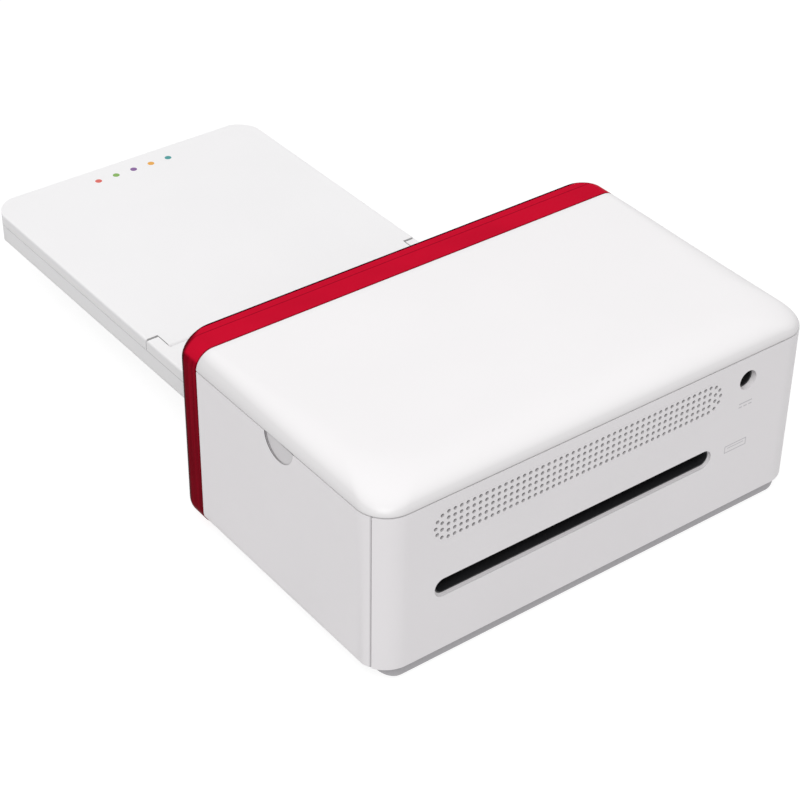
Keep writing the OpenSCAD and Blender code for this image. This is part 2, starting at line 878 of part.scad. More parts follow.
module platen_roller() {
  color([0.15, 0.15, 0.15])
    difference() {
      rod_x(platen_y, platen_z, platen_r, roll_l, roll_r);
      rod_x(platen_y, platen_z, 2, roll_l - 1, roll_r + 1);
    }
}

module pickup_arm() {
  color([0.3, 0.3, 0.32])
    difference() {
      union() {
        rod_x(pivot_y, pivot_z, 1.5, shaft_l, shaft_r);
        for (s = [-1, 1]) {
          x0 = mech_x + s * 7.5 - 1;
          rod_x(pivot_y, pivot_z, 2.5, x0, x0 + 2);
          rod_x(pick_y, pick_z, 2.5, x0, x0 + 2);
          box(x0, x0 + 2, pick_y, pivot_y, pick_z - 1.8, pick_z + 1.8);
        }
        box(mech_x - 8, mech_x + 8, pivot_y - 6.5, pivot_y - 4, pick_z - 1.2, pick_z + 1.2);
      }
      rod_x(pick_y, pick_z, 1 + run_fit, mech_x - 12, mech_x + 12);
    }
}

module pickup_roller() {
  color([0.15, 0.15, 0.15]) {
    rod_x(pick_y, pick_z, pick_r, mech_x - 6, mech_x + 6);
    rod_x(pick_y, pick_z, 1, mech_x - 8.4, mech_x + 8.4);
  }
}

// ---------- ribbon cartridge ----------

module takeup_gear() {
  color([0.85, 0.83, 0.76]) {
    gear(takeup_y, spool_z, takeup_teeth,
      mate_phase(0, takeup_dir, feed_teeth, takeup_teeth), 3 - e);
    rod_x(takeup_y, spool_z, 3, gear_x0 - 0.4, cart_l + 8);
  }
}

module supply_hub() {
  color([0.85, 0.83, 0.76]) {
    rod_x(supply_y, spool_z, 3, gear_x0 + 1, cart_l + 8);
    rod_x(supply_y, spool_z, 7.5, gear_x0 + 1, gear_x0 + 3.4);
  }
}

module spool(y) {
  difference() {
    union() {
      rod_x(y, spool_z, core_r, cart_l + 2, cart_r - 4);
      rod_x(y, spool_z, 2.4, cart_r - 5, cart_r - 0.3);
    }
    rod_x(y, spool_z, 3 + 0.02, cart_l, cart_l + 8.5);
  }
}

module takeup_spool() {
  color([0.35, 0.36, 0.4]) spool(takeup_y);
}

module supply_spool() {
  color([0.35, 0.36, 0.4]) spool(supply_y);
}

module roll(y, r) {
  difference() {
    rod_x(y, spool_z, r, roll_l + 4, roll_r - 4);
    rod_x(y, spool_z, core_r, roll_l, roll_r);
  }
}

module takeup_roll() {
  color([0.1, 0.1, 0.12]) roll(takeup_y, takeup_roll_r);
}

module supply_roll() {
  color([0.85, 0.7, 0.1]) roll(supply_y, supply_roll_r);
}

module cartridge_shell() {
  color([0.25, 0.26, 0.3])
    difference() {
      union() {
        for (y = [supply_y, takeup_y])
          rod_x(y, spool_z, tube_r, cart_l, cart_r - 2.5);
        yz(cart_r - 2.5, cart_r)
          rrect(supply_y - tube_r, spool_z - tube_r, takeup_y + tube_r, spool_z + tube_r,
            [9, 9, 9, 9]);
        box(cart_r - e, cart_r + 4, (supply_y + takeup_y) / 2 - 9,
          (supply_y + takeup_y) / 2 + 9, spool_z + 2, spool_z + 4);
      }
      for (y = [supply_y, takeup_y]) {
        rod_x(y, spool_z, tube_bore, cart_l + 1.5, cart_r - 3.6);
        rod_x(y, spool_z, 3.5, cart_l - 1, cart_l + 2);
        rod_x(y, spool_z, 2.4 + run_fit, cart_r - 6, cart_r + 1);
      }
      // Slots where the film leaves one tube and enters the other
      for (p = [[supply_y, -50], [takeup_y, 230]])
        translate([cart_l + 4, p[0], spool_z])
          rotate([p[1], 0, 0])
            translate([0, 4.5, -3]) cube([roll_r - roll_l - 6, 8, 6]);
    }
}

module ribbon_film() {
  a = supply_y + supply_roll_r * 0.69;
  b = takeup_y - takeup_roll_r * 0.68;
  az = spool_z - supply_roll_r * 0.81;
  bz = spool_z - takeup_roll_r * 0.87;
  t = 0.42;
  color([0.85, 0.7, 0.1])
    yz(roll_l + 5, roll_r - 5)
      polygon([[a, az], [platen_y - 2.6, film_z], [platen_y + 2.6, film_z],
        [b, bz], [b, bz + t], [platen_y + 2.5, film_z + 0.3],
        [platen_y - 2.5, film_z + 0.3], [a, az + t]]);
}

// ---------- print head ----------

module head_frame() {
  color([0.72, 0.73, 0.75]) {
    difference() {
      box(mech_x - head_half, mech_x + head_half, head_y - 5.8, head_axis_y + 1.2,
        lift_plate_z, lift_plate_z + sheet);
      box(mech_x - head_half + 12, mech_x + head_half - 12, head_y + 12, head_axis_y - 8, 0, z_top);
    }
    rod_x(head_axis_y, head_axis_z, 1.5, shaft_l, shaft_r);
  }
}

module heat_sink() {
  z1 = lift_plate_z;
  z0 = head_low + 2.3;
  mid = head_low + 11;
  pitch = (z1 - mid) / 7;
  color([0.75, 0.76, 0.78])
    difference() {
      union() {
        box(mech_x - head_half + 2, mech_x + head_half - 2, head_y - 5.8, head_y + 5.8, mid, z1);
        box(mech_x - head_half + 2, mech_x + head_half - 2, head_y - 2.4, head_y + 2.4, z0, mid + 1);
      }
      for (i = [0:5])
        for (s = [-1, 1])
          box(mech_x - head_half, mech_x + head_half, head_y + s * 4.4 - 2.2,
            head_y + s * 4.4 + 2.2, mid + (i + 0.6) * pitch, mid + (i + 1.15) * pitch);
    }
}

module thermal_head() {
  color([0.9, 0.88, 0.82])
    box(mech_x - head_half + 3, mech_x + head_half - 3, head_y - 2, head_y + 2,
      head_low, head_low + 2.3);
}

// ---------- tray ----------

// Tray outline between two heights, moved in by d
module tray_solid(d, y0, y1, z0, z1, rl, rh) {
  x0 = tray_x - tray_w / 2 + d;
  x1 = tray_x + tray_w / 2 - d;
  far = y_far + d;
  rc = tray_corner - d;
  intersection() {
    xy(z0, z1)
      rrect(x0, far, x1, tray_in_y - d, [rc, rc, 0.5, 0.5]);
    xz(y_far - 1, tray_in_y + 1)
      rrect(x0, z0, x1, z1, [rl, rl, rh, rh]);
    yz(x0 - 1, x1 + 1)
      rrect(far, z0, tray_in_y + 20, z1, [rl, 0, 0, rh]);
    box(x0 - 1, x1 + 1, y0, y1, z0, z1);
  }
}

module tray_base() {
  color([0.9, 0.9, 0.91]) {
    difference() {
      tray_solid(0, y_far, tray_in_y, tz0, tz1, 3.4, 0);
      tray_solid(tray_side, y_far, tray_in_y + 1, tz0 + tray_floor, tz1 + 1, 1.4, 0);
      // Low feed edge at the printer end
      box(tray_x - tray_w / 2 + 4.25, tray_x + tray_w / 2 - 4.25, tray_in_y - 3, tray_in_y + 1,
        tz0 + 4, tz1 + 1);
    }
    // Side guides for the sheets
    for (s = [-1, 1])
      for (i = [0:2])
        translate([tray_x + s * (stack_w / 2 + 2.1) - 1.6, y_far + 22.75 + 40 * i, tz0 + 1])
          cube([3.2, 14, tz1 - tz0 - 2]);
  }
}

module tray_neck() {
  ear_x = tray_w / 2 - ear_w;
  notch = cover_y + barrel_r + 0.4;
  color([0.9, 0.9, 0.91])
    difference() {
      union() {
        difference() {
          tray_solid(0, ear_front, tray_in_y, tz1, tz2, 0, 0.8);
          tray_solid(tray_side, notch + 4, tray_in_y + 1, tz1 - 1, tz2 - 1.8, 0, 0);
          box(tray_x - ear_x, tray_x + ear_x, ear_front - 1, notch, tz1 - 1, tz2 + 1);
        }
      }
      // Window for the pick-up roller, open at the printer end
      box(mech_x - 12, mech_x + 12, pick_y - 8, tray_in_y + 1, tz1 - 1, tz2 + 1);
      // Pin holes in the ears
      rod_x(cover_y, cover_z, 0.8 + 0.02, tray_x - ear_x - 3, tray_x + ear_x + 3);
      // Small chamfer on the ears
      for (s = [-1, 1])
        translate([tray_x + s * tray_w / 2, ear_front, tz2])
          rotate([45, 0, 0])
            cube([20, 0.8, 0.8], center = true);
    }
}

module tray_cover() {
  ear_x = tray_w / 2 - ear_w - 0.35;
  z0 = tz1 + 0.25;
  color([0.93, 0.93, 0.94])
    difference() {
      union() {
        difference() {
          tray_solid(0, y_far, cover_edge, z0, tz2, 0, 0.8);
          tray_solid(tray_side, y_far, cover_edge - 2, z0 - 1, tz2 - 1.8, 0, 0);
        }
        box(tray_x - ear_x, tray_x + ear_x, cover_edge - 1, cover_y, z0, tz2);
        rod_x(cover_y, cover_z, barrel_r, tray_x - ear_x, tray_x + ear_x);
      }
      for (s = [-1, 1])
        rod_x(cover_y, cover_z, 0.8 + run_fit,
          tray_x + s * (ear_x - 2.4) - 2.5, tray_x + s * (ear_x - 2.4) + 2.5);
    }
}

module tray_pins() {
  in = tray_w / 2 - ear_w;
  color([0.75, 0.76, 0.78])
    for (s = [-1, 1])
      rod_x(cover_y, cover_z, 0.8,
        tray_x + s * (in - 0.6) - 3.4, tray_x + s * (in - 0.6) + 3.4);
}

module paper_stack() {
  color([0.98, 0.98, 0.97])
    box(tray_x - stack_w / 2, tray_x + stack_w / 2, tray_in_y - 3.2 - stack_l,
      tray_in_y - 3.2, stack_z0 - 0.2, stack_z0 + stack_h);
}

lid();
rear_shell();
slot_guide();
vent_grille();
side_door();
door_hinge_rod();
red_bezel();
front_trim();
front_panel();
base_plate();
rubber_feet();
base_screws();
power_button();
status_light();
switch_board();
dc_socket();
dc_contact();
main_board();
board_chips();
chassis();
feed_deck();
exit_guide();
feed_motor();
motor_pinion();
feed_roller();
feed_gear();
pinch_roller();
platen_shaft();
platen_roller();
pickup_arm();
pickup_roller();
takeup_gear();
takeup_spool();
takeup_roll();
supply_hub();
supply_spool();
supply_roll();
cartridge_shell();
ribbon_film();
head_frame();
heat_sink();
thermal_head();
tray_base();
tray_neck();
tray_cover();
tray_pins();
paper_stack();
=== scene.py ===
import math

import bmesh
import bpy
from mathutils import Matrix, Vector


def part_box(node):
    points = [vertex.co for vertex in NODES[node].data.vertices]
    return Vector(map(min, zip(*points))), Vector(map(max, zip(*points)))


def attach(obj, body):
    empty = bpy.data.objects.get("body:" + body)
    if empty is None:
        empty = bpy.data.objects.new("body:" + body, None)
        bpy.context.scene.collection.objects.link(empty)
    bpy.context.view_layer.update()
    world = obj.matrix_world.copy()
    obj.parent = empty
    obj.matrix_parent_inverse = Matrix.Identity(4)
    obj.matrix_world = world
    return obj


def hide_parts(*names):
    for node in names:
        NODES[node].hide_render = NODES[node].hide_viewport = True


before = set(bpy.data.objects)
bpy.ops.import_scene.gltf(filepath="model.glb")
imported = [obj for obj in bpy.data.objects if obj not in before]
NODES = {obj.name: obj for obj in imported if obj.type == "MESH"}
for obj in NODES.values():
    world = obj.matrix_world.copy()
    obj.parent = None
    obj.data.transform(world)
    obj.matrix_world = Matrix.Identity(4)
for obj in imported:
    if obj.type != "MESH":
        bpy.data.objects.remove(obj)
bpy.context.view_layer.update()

# All lengths are in metres.


# ---------- places, read from the parts in model.glb ---

LID_LOW, LID_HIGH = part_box("lid")
COVER_LOW, COVER_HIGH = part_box("tray_cover")
SOCKET_LOW, SOCKET_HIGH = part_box("dc_socket")
BAND_LOW, BAND_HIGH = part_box("red_bezel")
SLOT_LOW, SLOT_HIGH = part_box("slot_guide")
HEAD_LOW, HEAD_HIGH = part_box("thermal_head")
TRIM_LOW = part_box("front_trim")[0]
SHELL_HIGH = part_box("rear_shell")[1]
DOOR_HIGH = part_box("side_door")[1]

HALF_W = LID_HIGH.x
Y_REAR = LID_HIGH.y
Z_TOP = LID_HIGH.z
LID_FRONT = LID_LOW.y
SEAM_GAP = 0.0003
SEAM = SHELL_HIGH.z + SEAM_GAP

# Front band, depths counted from the very front
FLANGE_DEPTH = 0.0038
TRIM_DEPTH = BAND_LOW.y - TRIM_LOW.y
BAND_DEPTH = BAND_HIGH.y - TRIM_LOW.y

# Finger scoop in the door's upper edge, a part of a disc round SCOOP_AT
SCOOP_BACK = 0.049
SCOOP_RISE = 0.0006
SCOOP_RADIUS = 0.0074
SCOOP_AT = Vector((HALF_W, Y_REAR - SCOOP_BACK, DOOR_HIGH.z + SCOOP_RISE))


def span(low, high):
    """Middle and half length of the stretch from low to high."""
    return (low + high) / 2, (high - low) / 2


def add_object(name, data):
    made = bpy.data.objects.new(name, data)
    bpy.context.scene.collection.objects.link(made)
    return made


# ---------- camera, fitted to the straight edges ----------

CAMERA_AT = Vector((0.36167, 0.50546, 0.44056))
CAMERA_RIGHT = Vector((-0.80037, 0.59941, 0.01064))
CAMERA_UP = Vector((-0.34342, -0.47296, 0.81140))
CAMERA_BACK = Vector((0.49139, 0.64577, 0.58439))
SENSOR_MM = 36.0
LENS_MM = 97.48
NEAREST, FARTHEST = 0.02, 20.0


def make_camera():
    data = bpy.data.cameras.new("camera")
    data.sensor_width = SENSOR_MM
    data.lens = LENS_MM
    data.clip_start = NEAREST
    data.clip_end = FARTHEST
    camera = add_object("camera", data)
    turn = Matrix((CAMERA_RIGHT, CAMERA_UP, CAMERA_BACK)).transposed()
    camera.matrix_world = Matrix.Translation(CAMERA_AT) @ turn.to_quaternion().to_matrix().to_4x4()
    bpy.context.scene.camera = camera


# ---------- colours ----------

def linear(r, g, b):
    """A screen colour, 0 to 255, as the shader wants it."""
    def one(v):
        v = v / 255
        return v / 12.92 if v <= 0.04045 else ((v + 0.055) / 1.055) ** 2.4
    return (one(r), one(g), one(b), 1.0)


def shade(colour, factor):
    return tuple(min(1.0, c * factor) for c in colour[:3]) + (1.0,)


def grey(level):
    return (level, level, level, 1.0)


BLACK = grey(0.0)
LID_WHITE = linear(248, 246, 247)
CASE_WHITE = linear(238, 235, 237)
TRAY_WHITE = linear(249, 248, 249)
PANEL_WHITE = linear(240, 240, 241)
PAPER_WHITE = linear(246, 246, 243)
RED = linear(204, 18, 48)
DARK_RED = linear(58, 2, 16)
BOARD_GREEN = linear(16, 88, 52)


# ---------- node helpers ----------

class Tree:
    """The node tree of a material or world, with short calls for the nodes used here."""

    def __init__(self, owner, output="ShaderNodeOutputMaterial"):
        owner.use_nodes = True
        self.owner = owner
        self.tree = owner.node_tree
        self.tree.nodes.clear()
        self.out = self.node(output)
        self.places = None

    def node(self, kind, **fields):
        made = self.tree.nodes.new(kind)
        for key, value in fields.items():
            setattr(made, key, value)
        return made

    def link(self, source, target):
        self.tree.links.new(source, target)

    def put(self, socket, value):
        if isinstance(value, bpy.types.NodeSocket):
            self.link(value, socket)
        else:
            socket.default_value = value

    def coords(self, kind="Object"):
        if self.places is None:
            self.places = self.node("ShaderNodeTexCoord")
        return self.places.outputs[kind]

    def stretched(self, scale):
        """The piece's own coordinates, scaled along each axis."""
        mapping = self.node("ShaderNodeMapping")
        mapping.inputs["Scale"].default_value = scale
        self.link(self.coords(), mapping.inputs["Vector"])
        return mapping.outputs["Vector"]

    def noise(self, size, detail=2.0, roughness=0.5, vector=None):
        """Noise whose features are about size wide."""
        made = self.node("ShaderNodeTexNoise")
        made.inputs["Scale"].default_value = 1 / size
        made.inputs["Detail"].default_value = detail
        made.inputs["Roughness"].default_value = roughness
        self.link(vector or self.coords(), made.inputs["Vector"])
        return made.outputs["Fac"]

    def spread(self, value, low=0.0, high=1.0, source=(0.35, 0.65)):
        """Maps the source range, that of a noise unless it is given, on to low to high."""
        made = self.node("ShaderNodeMapRange")
        made.inputs["From Min"].default_value = source[0]
        made.inputs["From Max"].default_value = source[1]
        made.inputs["To Min"].default_value = low
        made.inputs["To Max"].default_value = high
        self.link(value, made.inputs["Value"])
        return made.outputs["Result"]

    def math(self, operation, a, b=0.0):
        made = self.node("ShaderNodeMath", operation=operation)
        self.put(made.inputs[0], a)
        self.put(made.inputs[1], b)
        return made.outputs["Value"]

    def product(self, first, *others):
        for other in others:
            first = self.math("MULTIPLY", first, other)
        return first

    def part(self, vector, name):
        split = self.node("ShaderNodeSeparateXYZ")
        self.link(vector, split.inputs["Vector"])
        return split.outputs[name]

    def axis(self, name):
        """The piece's own coordinate along one axis."""
        return self.part(self.coords(), name)

    def facing(self, name):
        """Share of the piece's own normal that points along one axis."""
        return self.part(self.coords("Normal"), name)

    # Masks: 1 where it holds, else 0

    def above(self, name, place):
        return self.math("GREATER_THAN", self.axis(name), place)

    def below(self, name, place):
        return self.math("LESS_THAN", self.axis(name), place)

    def near(self, name, place, reach):
        """Where the coordinate lies within reach of place."""
        away = self.math("ABSOLUTE", self.math("SUBTRACT", self.axis(name), place))
        return self.math("LESS_THAN", away, reach)

    def edge_on(self, name, most):
        """Where less than most of the normal points along the axis, either way."""
        return self.math("LESS_THAN", self.math("ABSOLUTE", self.facing(name)), most)

    # Colours and shaders

    def blend(self, factor, a, b):
        made = self.node("ShaderNodeMix", data_type="RGBA")
        self.put(made.inputs["Factor"], factor)
        self.put(made.inputs["A"], a)
        self.put(made.inputs["B"], b)
        return made.outputs["Result"]

    def mottle(self, pattern, colour, low, high):
        """The colour, from its low shade to its high one as the noise pattern says."""
        return self.blend(self.spread(pattern), shade(colour, low), shade(colour, high))

    def bump(self, height, distance):
        made = self.node("ShaderNodeBump")
        made.inputs["Strength"].default_value = 1.0
        made.inputs["Distance"].default_value = distance
        self.link(height, made.inputs["Height"])
        return made.outputs["Normal"]

    def diffuse(self, colour):
        made = self.node("ShaderNodeBsdfDiffuse")
        self.put(made.inputs["Color"], colour)
        return made.outputs["BSDF"]

    def mix(self, factor, a, b):
        made = self.node("ShaderNodeMixShader")
        self.link(factor, made.inputs["Fac"])
        self.link(a, made.inputs[1])
        self.link(b, made.inputs[2])
        return made.outputs["Shader"]

    def finish(self, colour, roughness, normal=None, **fixed):
        """Ends a material with its surface and returns it."""
        shader = self.node("ShaderNodeBsdfPrincipled")
        self.put(shader.inputs["Base Color"], colour)
        self.put(shader.inputs["Roughness"], roughness)
        if normal is not None:
            self.link(normal, shader.inputs["Normal"])
        for key, value in fixed.items():
            shader.inputs[key.replace("_", " ")].default_value = value
        self.link(shader.outputs["BSDF"], self.out.inputs["Surface"])
        return self.owner


def material_tree(name):
    return Tree(bpy.data.materials.new(name))


# ---------- moulded plastic ----------

# Surfaces: size of the grain, its depth, and how far the tone drifts
PLAIN = (0.0004, 0.000006, 0.012)
SATIN = (0.00035, 0.000004, 0.008)
SMOOTH = (0.0003, 0.000002, 0.006)
PRINTED = (0.0002, 0.000002, 0.03)

DRIFT_SIZE = 0.045
SPECK_MOST, SPECK_SHADE = 0.06, 0.94
GLOSS_SIZE = 0.004
GLOSS_LOW, GLOSS_HIGH = 0.95, 1.05

# Between these upward shares of the normal, painted shade on a turned face goes from darkest to
# none
PAINTED_TURN_SPAN = (0.68, 1.0)


def moulded(name, colour, rough, surface=PLAIN, turned_painted_tone=1.0, painted_shade_masks=None, **fixed):
    """Moulded plastic: slow drift of tone, fine grain, uneven gloss.

    Faces that turn away from the sky get painted shade, down to the given share of
    their tone. An optional function gives masks of the hollows, seams and holes where
    shade is painted, each with the share of the tone that is lost there."""
    grain, depth, drift = surface
    t = material_tree(name)
    slow = t.noise(DRIFT_SIZE)
    fine = t.noise(grain, detail=3.0, roughness=0.6)
    tone = t.mottle(slow, colour, 1 - drift, 1 + drift)
    tone = t.blend(t.spread(fine, 0.0, SPECK_MOST), tone, shade(colour, SPECK_SHADE))
    # Painted shade on faces that turn away from the sky
    if turned_painted_tone < 1.0:
        away = t.spread(t.facing("Z"), 1.0 - turned_painted_tone, 0.0, PAINTED_TURN_SPAN)
        tone = t.blend(away, tone, BLACK)
    # Painted shade in hollows, seams and holes
    for mask, loss in painted_shade_masks(t) if painted_shade_masks else ():
        tone = t.blend(t.product(mask, loss), tone, BLACK)
    gloss = t.spread(t.noise(GLOSS_SIZE, detail=3.0), rough * GLOSS_LOW, rough * GLOSS_HIGH)
    return t.finish(tone, gloss, t.bump(fine, depth), **fixed)


# Painted shade in the finger scoop and along the door's rear edge by the seam
SCOOP_DEEPEST = 0.0012
SCOOP_LOSS = 0.2
SCOOP_RIM = (SCOOP_RADIUS - 0.0007, SCOOP_RADIUS - 0.0001)
RIM_LOSS_FRONT, RIM_LOSS_REAR = 0.72, 0.1
RIM_FADE = (-0.004, 0.004)
DOOR_EDGE, DOOR_EDGE_LOSS = 0.0003, 0.2
ROUND_OFF = 0.00005


def door_painted_shade(t):
    """Painted shade in the finger scoop, darkest along its front rim, and along the door's rear
    edge.
    """
    along = t.math("SUBTRACT", t.axis("Y"), SCOOP_AT.y)
    up = t.math("SUBTRACT", t.axis("Z"), SCOOP_AT.z)
    away = t.math("SQRT", t.math("ADD", t.product(along, along), t.product(up, up)))
    inside = t.product(t.above("X", HALF_W - SCOOP_DEEPEST),
                       t.math("LESS_THAN", away, SCOOP_RADIUS + ROUND_OFF))
    rim = t.product(inside, t.spread(away, source=SCOOP_RIM))
    rim_loss = t.spread(along, RIM_LOSS_FRONT, RIM_LOSS_REAR, RIM_FADE)
    rear = t.near("Y", DOOR_HIGH.y, DOOR_EDGE)
    return ((inside, SCOOP_LOSS), (rim, rim_loss), (rear, DOOR_EDGE_LOSS))


SLOT_MARGIN = 0.002
SLOT_DEPTH = 0.0001
SLOT_LOSS = 0.28


def slot_painted_shade(t):
    """Painted shade in the recess round the paper slot, behind the rear face."""
    x, half_x = span(SLOT_LOW.x, SLOT_HIGH.x)
    z, half_z = span(SLOT_LOW.z, SLOT_HIGH.z)
    recess = t.product(t.below("Y", Y_REAR - SLOT_DEPTH),
                       t.near("X", x, half_x + SLOT_MARGIN), t.near("Z", z, half_z + SLOT_MARGIN))
    return ((recess, SLOT_LOSS),)


VENT_TURN = 0.6
VENT_LOSS = 0.3


def vent_painted_shade(t):
    """Painted shade on the walls of the vent holes."""
    return ((t.edge_on("Y", VENT_TURN), VENT_LOSS),)


LID_FOOT = 0.0002
LID_FOOT_LOSS = 0.35


def lid_painted_shade(t):
    """Painted shade on the lid's lowest edge, inside the seam."""
    return ((t.below("Z", SEAM + LID_FOOT), LID_FOOT_LOSS),)


UPRIGHT = 0.5
TRAY_SEAM, TRAY_SEAM_LOSS = 0.0002, 0.3
HINGE_GAPS, HINGE_GAPS_LOSS = 0.02, 0.35
COVER_SIDE = 0.0006


def tray_painted_shade(t):
    """Painted shade in the seam between the tray and its cover, and in the gaps at the cover's
    hinge.
    """
    x, half_x = span(COVER_LOW.x, COVER_HIGH.x)
    upright = t.edge_on("Z", UPRIGHT)
    seam = t.product(upright, t.near("Z", COVER_LOW.z, TRAY_SEAM))
    gaps = t.product(upright, t.above("Y", COVER_HIGH.y - HINGE_GAPS),
                     t.near("X", x, half_x - COVER_SIDE))
    return ((seam, TRAY_SEAM_LOSS), (gaps, HINGE_GAPS_LOSS))


# ---------- other materials ----------

LINE_SIZE, LINE_DEPTH = 0.0012, 0.000004


def metal(name, colour, rough, along):
    """Rolled or turned metal with fine lines; along squeezes them along each axis."""
    t = material_tree(name)
    lines = t.noise(LINE_SIZE, detail=4.0, roughness=0.65, vector=t.stretched(along))
    tone = t.mottle(t.noise(0.012), colour, 0.93, 1.05)
    gloss = t.spread(lines, rough * 0.75, rough * 1.3)
    return t.finish(tone, gloss, t.bump(lines, LINE_DEPTH), Metallic=1.0)


# Painted shade on the band: dark lines at its flange and rear edge, streaked darker sides, darker
# front turn
FLANGE_LINE, FLANGE_DARK = 0.00018, 0.5
REAR_LINE, REAR_DARK = 0.0003, 0.6
LINE_SHADE = 0.2
SIDE_SPAN = (0.86, 0.93)
PAINTED_SIDE_TONE = 0.03
PAINTED_SIDE_FRONT, PAINTED_SIDE_REAR = 0.84, 0.62
PAINTED_SIDE_FADE = (BAND_LOW.y + 0.003, BAND_LOW.y + 0.007)
STREAK_SIZE, STREAK_MOST = 0.0022, 0.14
STREAK_STRETCH = (0.2, 1, 0.03)
FRONT_SPAN = (0.08, 0.34)
FRONT_MOST, FRONT_SHADE = 0.85, 0.04
RIPPLE_SIZE, RIPPLE_DEPTH = 0.011, 0.00001


def acrylic():
    """Tinted acrylic of the front band.

    Its inner flange and its rear edge show as dark lines of painted shade, its sides
    are darkened by streaked painted shade, and painted shade darkens it where it
    turns to the front."""
    t = material_tree("red_acrylic")
    tone = t.mottle(t.noise(0.02), RED, 0.96, 1.04)
    flange = t.near("Y", TRIM_LOW.y + FLANGE_DEPTH, FLANGE_LINE)
    rear = t.near("Y", BAND_HIGH.y, REAR_LINE)
    lines = t.math("MAXIMUM", t.product(flange, FLANGE_DARK), t.product(rear, REAR_DARK))
    tone = t.blend(lines, tone, shade(RED, LINE_SHADE))
    normal = t.node("ShaderNodeNewGeometry").outputs["Normal"]
    sideways = t.spread(t.math("ABSOLUTE", t.part(normal, "X")), source=SIDE_SPAN)
    pattern = t.noise(STREAK_SIZE, vector=t.stretched(STREAK_STRETCH))
    streak = t.spread(pattern, -STREAK_MOST, STREAK_MOST)
    fall = t.spread(t.axis("Y"), PAINTED_SIDE_FRONT, PAINTED_SIDE_REAR, PAINTED_SIDE_FADE)
    painted_side_shade = t.product(sideways, t.math("ADD", fall, streak))
    tone = t.blend(painted_side_shade, tone, shade(RED, PAINTED_SIDE_TONE))
    painted_front_shade = t.spread(t.product(t.part(normal, "Y"), -1.0), 0.0, FRONT_MOST, FRONT_SPAN)
    tone = t.blend(painted_front_shade, tone, shade(RED, FRONT_SHADE))
    gloss = t.spread(t.noise(GLOSS_SIZE), 0.16, 0.22)
    return t.finish(tone, gloss, t.bump(t.noise(RIPPLE_SIZE), RIPPLE_DEPTH),
                    Transmission_Weight=0.02, IOR=1.04, Specular_IOR_Level=0.2)


TRACK_SCALE, TRACK_GAP, TRACK_DEPTH = 260.0, 0.09, 0.00002
PAD_SCALE, PAD_RADIUS = 210.0, 0.13


def circuit():
    """Solder mask over copper tracks, with pads."""
    t = material_tree("solder_mask")
    tracks = t.node("ShaderNodeTexBrick")
    for key, value in (("Scale", TRACK_SCALE), ("Mortar Size", TRACK_GAP),
                       ("Color1", BOARD_GREEN), ("Color2", shade(BOARD_GREEN, 0.8)),
                       ("Mortar", linear(30, 128, 74)), ("Vector", t.coords())):
        t.put(tracks.inputs[key], value)
    pads = t.node("ShaderNodeTexVoronoi")
    t.put(pads.inputs["Scale"], PAD_SCALE)
    t.put(pads.inputs["Vector"], t.coords())
    on_pad = t.math("LESS_THAN", pads.outputs["Distance"], PAD_RADIUS)
    tone = t.blend(on_pad, tracks.outputs["Color"], linear(205, 196, 172))
    gloss = t.spread(t.noise(0.003), 0.28, 0.42)
    return t.finish(tone, gloss, t.bump(tracks.outputs["Fac"], TRACK_DEPTH))


LAYER_SIZE, LAYER_SHADE, LAYER_DEPTH = 0.00028, 0.86, 0.00003
LAYER_STRETCH = (0.02, 0.02, 1)
SHEET_GRAIN = 0.0006


def paper():
    """Coated sheets in a stack, whose layers show on the upright edges."""
    t = material_tree("photo_sheets")
    layer = t.noise(LAYER_SIZE, detail=1.0, vector=t.stretched(LAYER_STRETCH))
    lines = t.product(t.edge_on("Z", UPRIGHT), t.spread(layer, 1.0, 0.0))
    sheet = t.mottle(t.noise(SHEET_GRAIN), PAPER_WHITE, 0.985, 1.0)
    tone = t.blend(lines, sheet, shade(PAPER_WHITE, LAYER_SHADE))
    gloss = t.spread(t.noise(0.01), 0.28, 0.36)
    return t.finish(tone, gloss, t.bump(lines, LAYER_DEPTH))


FILM_ROUGH = 0.24
WINDING_SIZE, WINDING_DEPTH = 0.0007, 0.00001
WINDING_STRETCH = (1, 0.15, 0.15)


def ribbon(name, colour):
    """Wound film: fine winding lines round the roll."""
    t = material_tree(name)
    wound = t.noise(WINDING_SIZE, vector=t.stretched(WINDING_STRETCH))
    tone = t.mottle(wound, colour, 0.82, 1.1)
    gloss = t.spread(wound, FILM_ROUGH * 0.8, FILM_ROUGH * 1.4)
    return t.finish(tone, gloss, t.bump(wound, WINDING_DEPTH))


HEATER_LINE = 0.00035


def ceramic():
    """Glazed head with its dark heater line along the middle."""
    t = material_tree("head_glaze")
    line = t.near("Y", span(HEAD_LOW.y, HEAD_HIGH.y)[0], HEATER_LINE)
    cream = t.blend(t.spread(t.noise(0.004)), linear(226, 218, 198), linear(236, 230, 214))
    return t.finish(t.blend(line, cream, linear(70, 52, 40)), 0.16, Coat_Weight=0.4)


